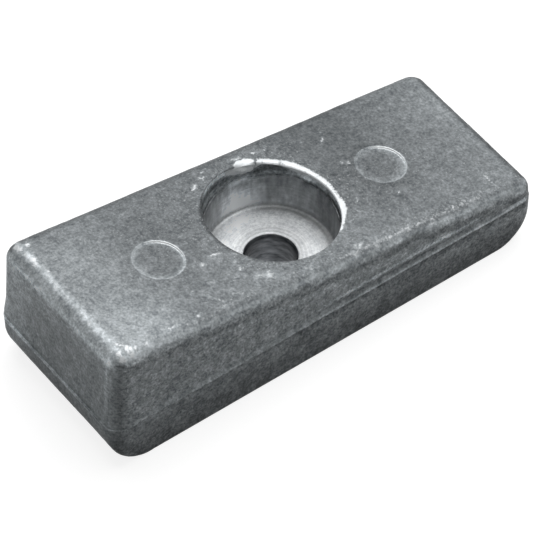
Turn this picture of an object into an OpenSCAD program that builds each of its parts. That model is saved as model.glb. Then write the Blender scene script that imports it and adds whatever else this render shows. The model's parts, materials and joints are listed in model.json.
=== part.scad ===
// Wedge-shaped block anode, cast in one piece and held by one bolt.
// The mounting face lies on z = 0, the bolt hole stands on the Z axis,
// and the block runs along X from its thick end (-X) to its thin end (+X).

/* [Block] */
// Length from end to end, at the parting line
block_length = 95; // [85:0.5:140]
// Width from side to side, at the parting line
block_width = 37; // [33:0.5:60]
// Height that the sloping top reaches over the thick end
thick_height = 28; // [25:0.5:40]
// Height that the sloping top reaches over the thin end
thin_height = 13.5; // [12.5:0.5:18]

/* [Casting] */
// Height of the mould's parting line above the mounting face
parting_height = 9.5; // [8:0.25:10.5]
// How far the lower half stands proud of the upper half at the parting line
parting_step = 0.35; // [0.1:0.05:0.8]
// Draft angle of the walls, above and below the parting line
draft_angle = 1.8; // [0:0.1:4]
// Radius of the standing corners, seen from above
corner_r = 3.5; // [3.5:0.25:6]
// Radius of the rounded edge all round the sloping top
top_edge_r = 3; // [1:0.25:3]
// Radius of the underside where it turns up into both end faces
end_r = 6; // [2:0.5:7.5]

/* [Bolt hole] */
// Diameter of the through bore for the bolt
bore_d = 9.5; // [8:0.25:13]
// Width of the broken edge at both ends of the bore
bore_edge = 0.6; // [0.2:0.1:1.2]
// Thickness of metal left under the bolt head
seat_thickness = 8.75; // [6:0.25:9]

/* [Counterbore] */
// Diameter of the cast mouth of the counterbore
mouth_d = 25.4; // [24.5:0.1:28]
// Diameter of the machined pocket below the mouth
pocket_d = 24.8; // [20:0.1:24.8]
// Height of the machined pocket above its floor
pocket_height = 7.8; // [4:0.1:8.5]
// Radius between the pocket's floor and its wall
pocket_fillet_r = 1; // [0.2:0.1:2]
// Width of the rim's bevel at its widest place
rim_bevel_w = 1.2; // [0.3:0.1:1.5]
// Depth of the rim's bevel at its widest place
rim_bevel_depth = 0.6; // [0.2:0.1:1]
// How far beside the hole's centre the bevel was cut
rim_bevel_shift = 2; // [0:0.1:2]
// Direction in which the bevel is widest, turned from the thin end
rim_bevel_turn = 35; // [0:5:355]

/* [Ejector marks] */
// Diameter of each round ejector pin mark
mark_d = 9.5; // [5:0.25:12]
// Distance of each mark's centre from the bolt hole
mark_offset = 25.1; // [22:0.1:30]
// How deep each mark is sunk into the sloping top
mark_depth = 0.2; // [0.1:0.05:0.5]

/* [Hidden] */

$fn = 96;
hull_fn = 32;
arc_steps = 8;
overlap = 1;

slope = (thick_height - thin_height) / block_length;
slope_angle = atan(slope);
top_mid = (thick_height + thin_height) / 2;
cut_height = 2 * thick_height;

// Height of the sloping top plane at a place along the block
function top_z(x) = top_mid - slope * x;

// How far a drafted wall has moved in at a distance from the parting line
function draft_in(rise) = tan(draft_angle) * rise;

// Centre height of an edge ball that touches the sloping top from below
function ball_z(x) = top_z(x) - top_edge_r / cos(slope_angle);

// Places each child at the +Y side and, mirrored, at the -Y side
module each_side() {
    for (side = [-1, 1]) scale([1, side, 1]) children();
}

// Ball that rounds one upper corner; end is -1 at the thick end and 1 at the thin end
module top_ball(end) {
    wall_x = block_length / 2 - parting_step - top_edge_r;
    rise = ball_z(end * wall_x) - parting_height;
    x = end * (wall_x - draft_in(rise));
    y = block_width / 2 - parting_step - draft_in(rise) - top_edge_r;
    translate([x, y, ball_z(x)]) sphere(r = top_edge_r, $fn = hull_fn);
}

// Foot of one upper corner, sunk into the lower half so that the halves are one
module top_foot(end) {
    x = end * (block_length / 2 - corner_r);
    y = block_width / 2 - corner_r;
    translate([x, y, parting_height - overlap])
        cylinder(r = corner_r - parting_step, h = overlap, $fn = hull_fn);
}

// Upper half of the casting: drafted walls, sloping top, rounded edge all round
module upper_half() {
    hull() each_side() for (end = [-1, 1]) {
        top_ball(end);
        top_foot(end);
    }
}

// Posts that carry one lower corner up to the parting line, each starting
// a little lower and further in along the arc under the end face
module bottom_posts(end) {
    for (step = [0 : arc_steps]) {
        turn = 90 * step / arc_steps;
        inset = end_r * (1 - cos(turn));
        z = end_r * (1 - sin(turn));
        x = end * (block_length / 2 - inset - corner_r);
        y = block_width / 2 - corner_r - draft_in(parting_height - z);
        translate([x, y, z])
            cylinder(r = corner_r, h = parting_height - z, $fn = hull_fn);
    }
    translate([end * (block_length / 2 - corner_r), block_width / 2 - corner_r, parting_height - overlap])
        cylinder(r = corner_r, h = overlap, $fn = hull_fn);
}

// Lower half of the casting: flat mounting face, ends turned up on a radius
module lower_half() {
    hull() each_side() for (end = [-1, 1]) bottom_posts(end);
}

// Bolt bore with a broken edge at both of its ends
module bolt_bore() {
    translate([0, 0, -overlap]) cylinder(d = bore_d, h = cut_height);
    translate([0, 0, -overlap])
        cylinder(d1 = bore_d + 2 * (bore_edge + overlap), d2 = bore_d, h = bore_edge + overlap);
    translate([0, 0, seat_thickness - bore_edge])
        cylinder(d1 = bore_d, d2 = bore_d + 2 * (bore_edge + overlap), h = bore_edge + overlap);
}

// Counterbore: machined pocket with a filleted floor, then the wider cast mouth
module counterbore() {
    pocket_r = pocket_d / 2;
    translate([0, 0, seat_thickness]) rotate_extrude() {
        square([pocket_r - pocket_fillet_r, pocket_height]);
        translate([0, pocket_fillet_r]) square([pocket_r, pocket_height - pocket_fillet_r]);
        translate([pocket_r - pocket_fillet_r, pocket_fillet_r]) circle(r = pocket_fillet_r);
    }
    translate([0, 0, seat_thickness + pocket_height]) cylinder(d = mouth_d, h = cut_height);
}

// Bevel at the rim, square to the sloping top: a cone that starts inside the mouth and
// stands beside the hole's centre, so that it leaves a crescent on one side of the rim
module rim_bevel() {
    spread = rim_bevel_w / rim_bevel_depth;
    top_r = mouth_d / 2 + rim_bevel_w - rim_bevel_shift;
    translate([0, 0, top_mid]) rotate([0, slope_angle, 0]) rotate([0, 0, rim_bevel_turn])
        translate([rim_bevel_shift, 0, -rim_bevel_depth - overlap])
            cylinder(r1 = top_r - spread * (rim_bevel_depth + overlap),
                     r2 = top_r + spread * overlap,
                     h = rim_bevel_depth + 2 * overlap);
}

// Shallow mark of one ejector pin, with its floor along the sloping top
module ejector_mark(x) {
    intersection() {
        translate([x, 0, 0]) cylinder(d = mark_d, h = cut_height);
        translate([0, 0, top_mid]) rotate([0, slope_angle, 0])
            translate([0, 0, cut_height / 2 - mark_depth])
                cube([2 * block_length, block_width, cut_height], center = true);
    }
}

// The whole casting: one piece of metal, open only at its bolt hole
module anode_casting() {
    color("slategray") difference() {
        union() {
            lower_half();
            upper_half();
        }
        bolt_bore();
        counterbore();
        rim_bevel();
        for (side = [-1, 1]) ejector_mark(side * mark_offset);
    }
}

anode_casting();
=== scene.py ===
# %% [markdown]
# # A cast zinc anode, dressed from its construction model
# The object is one lump of zinc alloy: a wedge-shaped block with a counterbored hole for one bolt.
# It has no parts to put together, so the whole lesson is about skin: how a casting's surface is
# shaped, rubbed and turned, and how one closed mesh can carry all of that.

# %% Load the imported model
import json
import math

import bmesh
import bpy
import numpy as np
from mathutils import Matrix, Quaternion, Vector, noise
from mathutils.geometry import delaunay_2d_cdt


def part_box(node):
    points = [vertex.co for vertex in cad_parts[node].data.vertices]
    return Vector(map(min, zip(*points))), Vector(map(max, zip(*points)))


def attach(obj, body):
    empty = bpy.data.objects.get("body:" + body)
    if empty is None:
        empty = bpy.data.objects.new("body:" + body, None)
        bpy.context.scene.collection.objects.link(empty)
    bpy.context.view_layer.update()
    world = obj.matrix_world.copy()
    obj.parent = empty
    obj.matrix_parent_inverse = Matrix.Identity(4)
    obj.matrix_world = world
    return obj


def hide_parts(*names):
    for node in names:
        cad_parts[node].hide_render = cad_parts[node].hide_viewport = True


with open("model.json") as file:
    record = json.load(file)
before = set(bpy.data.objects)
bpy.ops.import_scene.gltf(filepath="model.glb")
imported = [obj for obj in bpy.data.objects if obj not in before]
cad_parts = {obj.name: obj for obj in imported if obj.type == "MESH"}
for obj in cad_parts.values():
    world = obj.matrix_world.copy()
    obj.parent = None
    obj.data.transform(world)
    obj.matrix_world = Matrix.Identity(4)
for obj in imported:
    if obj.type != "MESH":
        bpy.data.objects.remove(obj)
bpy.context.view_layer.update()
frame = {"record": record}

MM = 0.001
low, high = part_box("anode_casting")
print("construction box in mm:", [round(side / MM, 2) for side in high - low])

# %% [markdown]
# ## The camera
# A photograph taken from far away with a long lens looks almost flat: the block's long edges stay
# nearly parallel. So the camera stands three quarters of a metre off and has a narrow lens. Its
# place, the point that it aims at and a small roll say everything.

# %% Set the camera up
camera_place = Vector((-301.14, -388.18, 577.73)) * MM
camera_aim = Vector((-5.074, -5.359, 14.0)) * MM
camera_roll = math.radians(1.061)
picture_width = 36.0
lens_length = 278.46


def put(name, data):
    """A new object of the scene, made of a mesh, a camera or a light."""
    made = bpy.data.objects.new(name, data)
    bpy.context.scene.collection.objects.link(made)
    return made


camera = put("camera", bpy.data.cameras.new("camera"))
camera.data.sensor_width = picture_width
camera.data.lens = lens_length
camera.data.clip_start = 0.05
camera.rotation_mode = "QUATERNION"
camera.location = camera_place
towards = (camera_aim - camera_place).to_track_quat("-Z", "Y")
camera.rotation_quaternion = towards @ Quaternion((0, 0, 1), camera_roll)
bpy.context.scene.camera = camera
print("camera distance in mm:", round((camera_aim - camera_place).length / MM))

# %% [markdown]
# ## Colours and nodes
# Colours are easiest to pick as the hex numbers that a picture shows, but light is mixed in linear
# values. One function turns the first into the second. One more adds a shader node, sets it up and
# links it, so that each material below reads like a recipe. A third starts an empty material.


# %% Helpers for every material
def paint(code):
    """Linear red, green, blue and alpha of an sRGB hex colour."""
    shares = [int(code[i:i + 2], 16) / 255 for i in (1, 3, 5)]
    return [s / 12.92 if s <= 0.04045 else ((s + 0.055) / 1.055) ** 2.4 for s in shares] + [1.0]


def add(tree, kind, inputs=None, **settings):
    """A new shader node, with inputs by name or number, as values or links, and its settings.
    A node that is given as an input stands for its first output."""
    made = tree.nodes.new("ShaderNode" + kind)
    for name, value in settings.items():
        setattr(made, name, value)
    for name, value in (inputs or {}).items():
        if isinstance(value, bpy.types.Node):
            value = value.outputs[0]
        if isinstance(value, bpy.types.NodeSocket):
            tree.links.new(value, made.inputs[name])
        else:
            made.inputs[name].default_value = value
    return made


def start_material(name):
    """A new material and its empty node tree."""
    made = bpy.data.materials.new(name)
    made.use_nodes = True
    made.node_tree.nodes.clear()
    return made, made.node_tree


print("mid grey in linear light:", round(paint("#808080")[0], 3))

# %% [markdown]
# ## Floor, backdrop and light
# The block lies on a white table under one large soft box. The box hangs high behind the block
# and towards its thin end, which leaves the front and the thick end in soft shade. The table shows
# white to the eye and in reflections through the Light Path node, but it bounces little light up,
# as a table does when its far parts are dark. The rest of its brightness is real light, so the
# block keeps its soft shadow.

# %% Lay the floor and the backdrop
table_bounce = 0.3
table_glow = 0.84


def studio_surface(name, bounce, glow):
    """A plain pale surface that is white to the camera and in reflections."""
    made, tree = start_material(name)
    path = add(tree, "LightPath")
    seen = path.outputs["Is Camera Ray"]
    for ray in ("Is Glossy Ray", "Is Transmission Ray"):
        seen = add(tree, "Math", {0: seen, 1: path.outputs[ray]}, operation="ADD", use_clamp=True)
    strength = add(tree, "Math", {0: seen, 1: glow}, operation="MULTIPLY")
    lit = add(tree, "BsdfDiffuse", {"Color": (bounce, bounce, bounce, 1)})
    white = add(tree, "Emission", {"Color": (1, 1, 1, 1), "Strength": strength})
    both = add(tree, "AddShader", {0: lit, 1: white})
    add(tree, "OutputMaterial", {"Surface": both})
    return made


def studio_mesh(name, corners, faces, material):
    """A stage piece made of a few corners in metres."""
    mesh = bpy.data.meshes.new(name)
    mesh.from_pydata(corners, [], faces)
    mesh.materials.append(material)
    made = put(name, mesh)


floor_reach = 3.0
backdrop_height = 0.6
backdrop_sides = 48
# The floor lies a hair lower than the mounting face, so that the two flat faces don't coincide.
floor_gap = 0.02
floor_z = low.z - floor_gap * MM
floor_edge = [(floor_reach * math.cos(turn), floor_reach * math.sin(turn), floor_z)
              for turn in np.linspace(0, 2 * math.pi, backdrop_sides, endpoint=False)]
studio_mesh("floor", floor_edge, [list(range(backdrop_sides))],
            studio_surface("white_table", table_bounce, table_glow))
wall_points = floor_edge + [(x, y, z + backdrop_height) for x, y, z in floor_edge]
wall_faces = []
for side in range(backdrop_sides):
    after = (side + 1) % backdrop_sides
    wall_faces.append((side, backdrop_sides + side, backdrop_sides + after, after))
studio_mesh("backdrop", wall_points, wall_faces, studio_surface("white_paper", table_bounce, 1.0))
print("floor is round and", 2 * floor_reach, "m across")

# %% Hang the soft box and set the room's light
soft_box_place = Vector((0.32, 0.28, 0.9))
soft_box_side = 1.1
soft_box_watts = 12.0
room_light = 0.2

lamp = put("soft_box", bpy.data.lights.new("soft_box", "AREA"))
lamp.data.shape = "SQUARE"
lamp.data.size = soft_box_side
lamp.data.energy = soft_box_watts
lamp.location = soft_box_place
lamp.rotation_mode = "QUATERNION"
lamp.rotation_quaternion = (-soft_box_place).to_track_quat("-Z", "Y")

room = bpy.data.worlds.new("room")
room.use_nodes = True
room.node_tree.nodes.clear()
glow = add(room.node_tree, "Background", {"Color": (0.98, 1.0, 0.99, 1), "Strength": room_light})
add(room.node_tree, "OutputWorld", {"Surface": glow})
bpy.context.scene.world = room
bpy.context.scene.view_settings.view_transform = "Standard"
print("soft box hangs", round(soft_box_place.length, 2), "m away")

# %% [markdown]
# ## Sizes of the casting
# The construction model gives the outer box, the bore and the seat. The other sizes are those of
# the construction, repeated here in millimetres, because a mesh with this much skin on it has to
# be drawn again from the same rules.

# %% Named sizes in millimetres
mounts = {mount["name"]: mount for mount in frame["record"]["mounts"]}
block_length = (high.x - low.x) / MM
block_width = (high.y - low.y) / MM
bore_r = mounts["bolt_bore"]["dims"]["r_mm"]
seat_z = mounts["head_seat"]["pos_m"][2] / MM

thick_height = 28.0
thin_height = 13.5
parting_z = 9.5
parting_step = 0.35
draft = math.tan(math.radians(1.8))
corner_r = 3.5
top_edge_r = 3.0
end_r = 6.0
bottom_edge = 0.35
bore_edge = 0.6
mouth_r = 12.7
pocket_r = 12.4
pocket_top_z = seat_z + 7.8
pocket_fillet = 1.0
mark_r = 4.75
mark_offset = 25.1
mark_depth = 0.2

slope = (thick_height - thin_height) / block_length
slope_angle = math.atan(slope)
top_mid = (thick_height + thin_height) / 2
top_normal = np.array((math.sin(slope_angle), 0.0, math.cos(slope_angle)))
along_top = np.array((math.cos(slope_angle), 0.0, -math.sin(slope_angle)))


def top_z(x):
    """Height of the sloping top plane at a place along the block."""
    return top_mid - slope * x


def on_top(flat):
    """Places on the sloping top from flat places (along the slope, across it)."""
    return (0, 0, top_mid) + flat[:, :1] * along_top + flat[:, 1:] * (0, 1, 0)


print("the top slopes by", round(math.degrees(slope_angle), 2), "degrees")

# %% [markdown]
# ## A closed skin made of loops
# Every outer wall of the casting runs once round the block, and every wall of the hole runs once
# round the bolt's axis. So both are built as loops of points, each joined to the next by a band of
# four-sided faces. That keeps edges where the mould has them, and the spacing of the loops is
# chosen to be fine where the skin needs detail.

# %% Collect points and faces
AS_CAST, TURNED, DRILLED = 0, 1, 2
skin_points = []
skin_faces = []
face_finish = []


def lay(ring):
    """Adds a loop of points and returns their numbers."""
    first = len(skin_points)
    skin_points.extend(map(tuple, ring))
    return np.arange(first, first + len(ring))


def band(ring, after, finish):
    """Joins two loops of the same length by four-sided faces."""
    ring_next = np.roll(ring, -1)
    after_next = np.roll(after, -1)
    skin_faces.extend(np.stack([ring, ring_next, after_next, after], 1).tolist())
    face_finish.extend([finish] * len(ring))


def bands(rings, finish):
    """Joins several loops, one to the next, and returns the numbers of the first and the last."""
    laid = [lay(ring) for ring in rings]
    for ring, after in zip(laid, laid[1:]):
        band(ring, after, finish)
    return laid[0], laid[-1]


def ripple(places, size, seed=0.0):
    """Smooth noise from -1 to 1 at places in mm, with bumps about as wide as size."""
    shift = Vector((seed * 17.3, seed * 5.1, seed * 9.7))
    return np.array([noise.noise(Vector(place) / size + shift) for place in places])


print("helpers for loops are ready")

# %% [markdown]
# ## Walk round the block
# A point of the outer skin is a corner's centre pushed outwards. Between two corners the centre
# slides along the side. Keeping the slide and the push apart means that one walk round the block
# serves every level, from the mounting face to the sloping top.

# %% The walk
long_steps = 224
short_steps = 76
corner_steps = 12


def walk_round():
    """Share towards the thin end, share towards +y and outward direction of each point."""
    corners = ((1, 1), (0, 1), (0, -1), (1, -1))
    rows = []
    for quarter in range(4):
        here = np.array(corners[quarter], float)
        there = np.array(corners[(quarter + 1) % 4], float)
        for step in range(corner_steps + 1):
            rows.append((*here, 90 * (quarter + step / corner_steps)))
        side_steps = long_steps if quarter % 2 == 0 else short_steps
        for step in range(1, side_steps):
            rows.append((*(here + (there - here) * step / side_steps), 90 * (quarter + 1)))
    return np.array(rows).T


def rise(value, start, end):
    """Rises smoothly from 0 at start to 1 at end."""
    share = np.clip((value - start) / (end - start), 0, 1)
    return share * share * (3 - 2 * share)


def fall(value, start, end):
    """Falls smoothly from 1 at start to 0 at end."""
    return 1 - rise(value, start, end)


def between(value, start, full, falling, end):
    """Rises from 0 at start to 1 at full, and falls again from falling to 0 at end."""
    return rise(value, start, full) * fall(value, falling, end)


def peak(value, centre, reach):
    """1 at the centre and falling to nothing beyond the reach."""
    return np.exp(-((value - centre) / reach) ** 2)


to_thin, to_side, facing = walk_round()
outward = np.stack([np.cos(np.radians(facing)), np.sin(np.radians(facing)), 0 * facing], 1)
outward_to_top = np.arccos(outward @ top_normal)
thick_side = peak(facing, 180, 40)
front_side = peak(facing, 270, 40)
near_corner = peak(facing, 225, 26)
far_corner = peak(facing, 140, 26)
thin_side = peak(facing, 0, 40) + peak(facing, 360, 40)


def block_ring(thick_centre, thin_centre, radius, lean=0.0):
    """A loop round the block from the corner centres (x, y, z) at both ends, pushed out by a radius.
    The push turns from level (lean 0) to square with the sloping top (lean 1)."""
    thick_centre, thin_centre = np.array(thick_centre), np.array(thin_centre)
    centre = thick_centre + to_thin[:, None] * (thin_centre - thick_centre)
    centre[:, 1] *= to_side
    level_part = np.sin((1 - lean) * outward_to_top) / np.sin(outward_to_top)
    top_part = np.sin(lean * outward_to_top) / np.sin(outward_to_top)
    push = level_part[:, None] * outward + top_part[:, None] * top_normal
    return centre + np.reshape(radius, (-1, 1)) * push


print("points in one walk:", len(facing))

# %% [markdown]
# ## The lower half of the casting
# The half below the parting line has nearly upright walls, a flat mounting face with a thin broken
# edge, and both ends turned up on a large radius. The mould's halves never meet quite true. Here
# the upper half was shifted towards the front, so the lower half stands proud at the thick end and
# draws back under the upper one along the front, with a little flash that squeezed into the gap.
# It is also a little fuller at two of its corners.

# %% Loops of the lower half
end_arc_steps = 13
lower_wall_steps = 13
flash_reach = 0.1
thick_end_proud = 0.38
front_groove = 0.38
front_rise = 0.7
thick_dip = 0.4
corner_fullness = 0.75
corner_x = block_length / 2 - corner_r
corner_y = block_width / 2 - corner_r


def settle(ring):
    """Lets the parting line dip at the thick end and rise a little along the front."""
    shift = front_rise * front_side - thick_dip * thick_side
    ring[:, 2] += shift * peak(ring[:, 2], parting_z, 2.0)
    return ring


def lower_ring(z, inset, out=0.0):
    """A loop of the lower half at a height, with both ends moved in and the whole pushed out."""
    edge = max(0.0, 1 - z / bottom_edge)
    broken = bottom_edge * (1 - math.sqrt(1 - edge * edge))
    x = corner_x - inset
    y = corner_y - draft * (parting_z - z) - broken
    out = out + thick_end_proud * thick_side * rise(z, 3, 7)
    out = out + 0.15 * far_corner * rise(z, 2.5, 5)
    out = out - front_groove * front_side * peak(z, parting_z - 0.2, 0.9)
    out = out + corner_fullness * near_corner * fall(z, 4, 9)
    return settle(block_ring((-x, y, z), (x, y, z), corner_r + out))


def ragged(seed, size, level, gain):
    """How strongly a bead stands at each point of the walk, from 0 to 1, in torn stretches."""
    line = block_ring((-corner_x, corner_y, parting_z), (corner_x, corner_y, parting_z), corner_r)
    return np.clip(level + gain * ripple(line, size, seed), 0, 1)


turns = np.radians(np.linspace(90, 0, end_arc_steps))
lower_rings = [lower_ring(end_r * (1 - math.sin(a)), end_r * (1 - math.cos(a))) for a in turns]
bead = flash_reach * ragged(1, 4.0, 0.5, 1.0) * ragged(2, 0.9, 0.7, 0.7)
bead *= (1 - front_side) * (1 - near_corner)
wall_heights = np.linspace(end_r, parting_z - 0.4, lower_wall_steps)[1:]
lower_rings += [lower_ring(z, 0) for z in wall_heights]
flash_profile = ((-0.22, 0.25), (-0.1, 0.9), (-0.02, 1.0), (0.04, 0.45))
lower_rings += [lower_ring(parting_z + above, 0, bead * share) for above, share in flash_profile]
mounting_loop, lower_top = bands(lower_rings, AS_CAST)
print("lower half has", len(lower_rings), "loops")

# %% [markdown]
# ## The upper half of the casting
# Above the parting line the walls lean in by the mould's draft. They end in an edge that is rounded
# all the way round the sloping top. Each corner of that edge is a part of a ball, and the loops
# shrink to a single point at the ball's pole, where the flat top begins.

# %% Loops of the upper half
upper_wall_steps = 36
round_steps = 10
skirt_reach = 0.42
second_flash = 0.1
thin_end_flush = 0.28
thick_end_out = 0.2
far_corner_out = 0.22


def ball_centre(end):
    """Corner centre of the rounded top edge at the thick end (-1) or the thin end (1)."""
    wall_x = block_length / 2 - parting_step - top_edge_r
    drop = top_edge_r / math.cos(slope_angle)
    height = top_z(end * wall_x) - drop - parting_z
    x = end * (wall_x - draft * height)
    y = block_width / 2 - parting_step - draft * height - top_edge_r
    return np.array((x, y, top_z(x) - drop))


def upper_out(z, x):
    """How far the upper half's wall stands out of true at a height and a place along the block."""
    front = skirt_reach * fall(z, parting_z + 0.3, parting_z + 1.2)
    on_right = between(x, -4, 3, 31, 36)
    front += second_flash * on_right * (peak(z, 12.6, 0.4) - peak(z, 11.1, 0.4))
    flare = fall(z, parting_z + 0.3, 14)
    thick = thick_end_out + 0.2 * flare
    far = far_corner_out + 0.3 * flare
    return front * front_side + thick * thick_side + far * far_corner + thin_end_flush * thin_side


thick_ball, thin_ball = ball_centre(-1), ball_centre(1)
foot_gap = 0.08
foot_z = parting_z + foot_gap
thick_foot = np.array((-corner_x, corner_y, foot_z))
thin_foot = np.array((corner_x, corner_y, foot_z))
foot_r = corner_r - parting_step

upper_rings = []
for share in np.linspace(0, 1, upper_wall_steps):
    thick = thick_foot + share * (thick_ball - thick_foot)
    thin = thin_foot + share * (thin_ball - thin_foot)
    ring_z = thick[2] + to_thin * (thin[2] - thick[2])
    ring_x = thick[0] + to_thin * (thin[0] - thick[0])
    radius = foot_r + share * (top_edge_r - foot_r) + upper_out(ring_z, ring_x)
    upper_rings.append(settle(block_ring(thick, thin, radius)))
for lean in np.linspace(0, 1, round_steps + 1)[1:]:
    ends_out = (thick_end_out * thick_side + far_corner_out * far_corner) * (1 - lean)
    ends_out += thin_end_flush * thin_side * (1 - lean * lean)
    upper_rings.append(block_ring(thick_ball, thin_ball, top_edge_r + ends_out, lean))
upper_foot, top_loop = bands(upper_rings, AS_CAST)
band(lower_top, upper_foot, AS_CAST)
print("upper half has", len(upper_rings), "loops")

# %% [markdown]
# ## The hole
# The hole was cast first and then turned: the mouth still has its rough cast wall, and below a
# small step the tool cut a slightly narrower pocket with a flat seat for the bolt's head. The bevel
# at the rim was cut beside the hole's centre. It is about a millimetre wide from the thin end round
# to the back, with torn edges, a small ledge under it and a burr at its far end. The rest of the
# rim is only rounded by wear, and almost sharp in front. Tables give such sizes by their turn round
# the bolt's axis, in degrees from the thin end.

# %% Sizes round the rim
hole_steps = 256
hole_turn = np.linspace(0, 2 * math.pi, hole_steps, endpoint=False)
hole_dir = np.stack([np.cos(hole_turn), np.sin(hole_turn)], 1)
bevel_widths = {
    -64: 0.05, -58: 0.2, -50: 0.32, -42: 0.4, -35: 0.52, -29: 0.92, -25: 1.05, -20: 1.0, -14: 0.88,
    -5: 0.84, 20: 0.88, 27: 1.02, 34: 1.12, 60: 1.02, 64: 0.75, 66: 0.45, 69: 1.05, 75: 1.28, 80: 1.12,
    84: 0.5, 88: 0.3, 105: 0.45, 170: 0.45, 195: 0.62, 225: 0.5, 245: 0.4, 262: 0.12}
bevel_depths = {-64: 0.02, -30: 0.12, 0: 0.25, 60: 0.3, 66: 0.38, 86: 0.38, 94: 0.25, 105: 0.3,
                195: 0.38, 245: 0.32, 262: 0.05}
ledge_reach = 0.4
burr_reach = 0.5
step_height = 0.12
cut_from, cut_full, cut_to = -63, -48, 87


def by_turn(turn, table):
    """The value between the nearest entries of a table by turn, round the whole circle."""
    return np.interp(turn, list(table), list(table.values()), period=360)


def hole_ring(radius, z):
    """A loop round the bolt's axis; radius and height may differ from point to point."""
    flat = hole_dir * np.reshape(radius, (-1, 1))
    return np.column_stack([flat, np.broadcast_to(z, len(flat))])


def on_circle(seed, size):
    """Smooth noise round the rim, with bumps about as wide as size in mm."""
    return ripple(hole_ring(mouth_r, 0.0), size, seed)


hole_degrees = np.degrees(hole_turn)
bevel_width = by_turn(hole_degrees, bevel_widths)
bevel_width *= (1 + 0.15 * on_circle(3, 1.6) + 0.25 * on_circle(4, 0.7))
bevel_depth = by_turn(hole_degrees, bevel_depths)
rim_flat = hole_dir * (mouth_r + bevel_width)[:, None]
rim_loop = on_top(rim_flat)
inner_rim = hole_ring(mouth_r, top_z(mouth_r * hole_dir[:, 0]) - bevel_depth)
print("bevel is up to", round(bevel_width.max(), 2), "mm wide")

# %% Loops of the rim and of the cast wall below it
border_z = pocket_top_z + 0.7 * on_circle(12, 2.6) + 0.45 * on_circle(13, 0.9)
hole_rings = []
rolled = between(hole_degrees, 92, 104, 235, 255)
bevel_droop = 3.5 - 2.0 * peak(hole_degrees, 77, 12)
ledge = ledge_reach * peak(hole_degrees, 20, 12) * (1 + 0.7 * on_circle(14, 0.8))
burr = burr_reach * peak(hole_degrees, 79, 13) * (1 + 0.5 * on_circle(15, 0.9))
for share in np.linspace(0, 1, 9):
    ring = rim_loop + share * (inner_rim - rim_loop)
    ring[:, 2] += (share - share ** bevel_droop) * bevel_depth
    ring[:, 2] += rolled * 0.45 * share * (1 - share) * bevel_width
    hole_rings.append(ring)
for share in np.linspace(0, 1, 15)[1:]:
    height = inner_rim[:, 2] + share * (border_z + step_height - inner_rim[:, 2])
    depth = top_z(mouth_r * hole_dir[:, 0]) - height
    inwards = ledge * between(depth, 0.95, 1.3, 2.4, 3.4)
    inwards += burr * (rise(depth, 0.3, 1.5) - rise(depth, 2.3, 3.4))
    hole_rings.append(hole_ring(mouth_r - inwards, height))
cast_last = bands(hole_rings, AS_CAST)[1]
print("rim and cast wall have", len(hole_rings), "loops")

# %% Loops of the turned pocket and the drilled bore
turned_rings = [hole_ring(mouth_r - 0.06, border_z), hole_ring(pocket_r + 0.06, border_z - 0.02)]
wall_bottom = seat_z + pocket_fillet
turned_rings += [hole_ring(pocket_r, border_z + share * (wall_bottom - border_z))
                 for share in np.linspace(0.02, 1, 16)]
for turn in np.radians(np.linspace(0, 90, 7)[1:]):
    turned_rings.append(hole_ring(pocket_r - pocket_fillet * (1 - math.cos(turn)),
                                  wall_bottom - pocket_fillet * math.sin(turn)))
turned_rings += [hole_ring(r, seat_z)
                 for r in np.linspace(pocket_r - pocket_fillet, bore_r + bore_edge, 16)[1:]]
turned_first, turned_last = bands(turned_rings, TURNED)
band(cast_last, turned_first, TURNED)

drilled_rings = [hole_ring(bore_r + 0.35, seat_z - 0.12), hole_ring(bore_r + 0.08, seat_z - 0.42)]
drilled_rings += [hole_ring(bore_r, z) for z in np.linspace(seat_z - bore_edge, bore_edge, 12)]
drilled_rings += [hole_ring(bore_r + 0.2, 0.28), hole_ring(bore_r + bore_edge, 0.0)]
drilled_first, bore_mouth = bands(drilled_rings, DRILLED)
band(turned_last, drilled_first, TURNED)
print("pocket and bore have", len(turned_rings) + len(drilled_rings), "loops")

# %% [markdown]
# ## The flat faces
# A flat face with a hole in it has no natural loops. It is filled with triangles between evenly
# spread points instead, joined so that few of them are long and thin. The two ejector marks get
# rings of their own, because a crisp round edge needs points along it.

# %% Fill a flat face between two loops
same_place = 1e-4
loop_tolerance = 1e-6
smallest_area = 1e-7
INSIDE_OUTER_LOOP = 1


def spread(half_x, half_y, spacing, seed):
    """Evenly spread points of a rectangle, in rows shifted by half a step and shaken a little."""
    shake = np.random.default_rng(seed)
    rows = []
    for k, y in enumerate(np.arange(-half_y, half_y, spacing * 0.866)):
        x = np.arange(-half_x + (k % 2) * spacing / 2, half_x, spacing)
        rows.append(np.column_stack([x, np.full(len(x), y)]))
    flat = np.concatenate(rows)
    return flat + shake.uniform(-0.12, 0.12, flat.shape) * spacing


def unique_loop(flat):
    """The same loop of flat points without the repeats."""
    kept = [flat[0]]
    for point in flat[1:]:
        if np.hypot(*(point - kept[-1])) > same_place and np.hypot(*(point - kept[0])) > same_place:
            kept.append(point)
    return np.array(kept)


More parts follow.
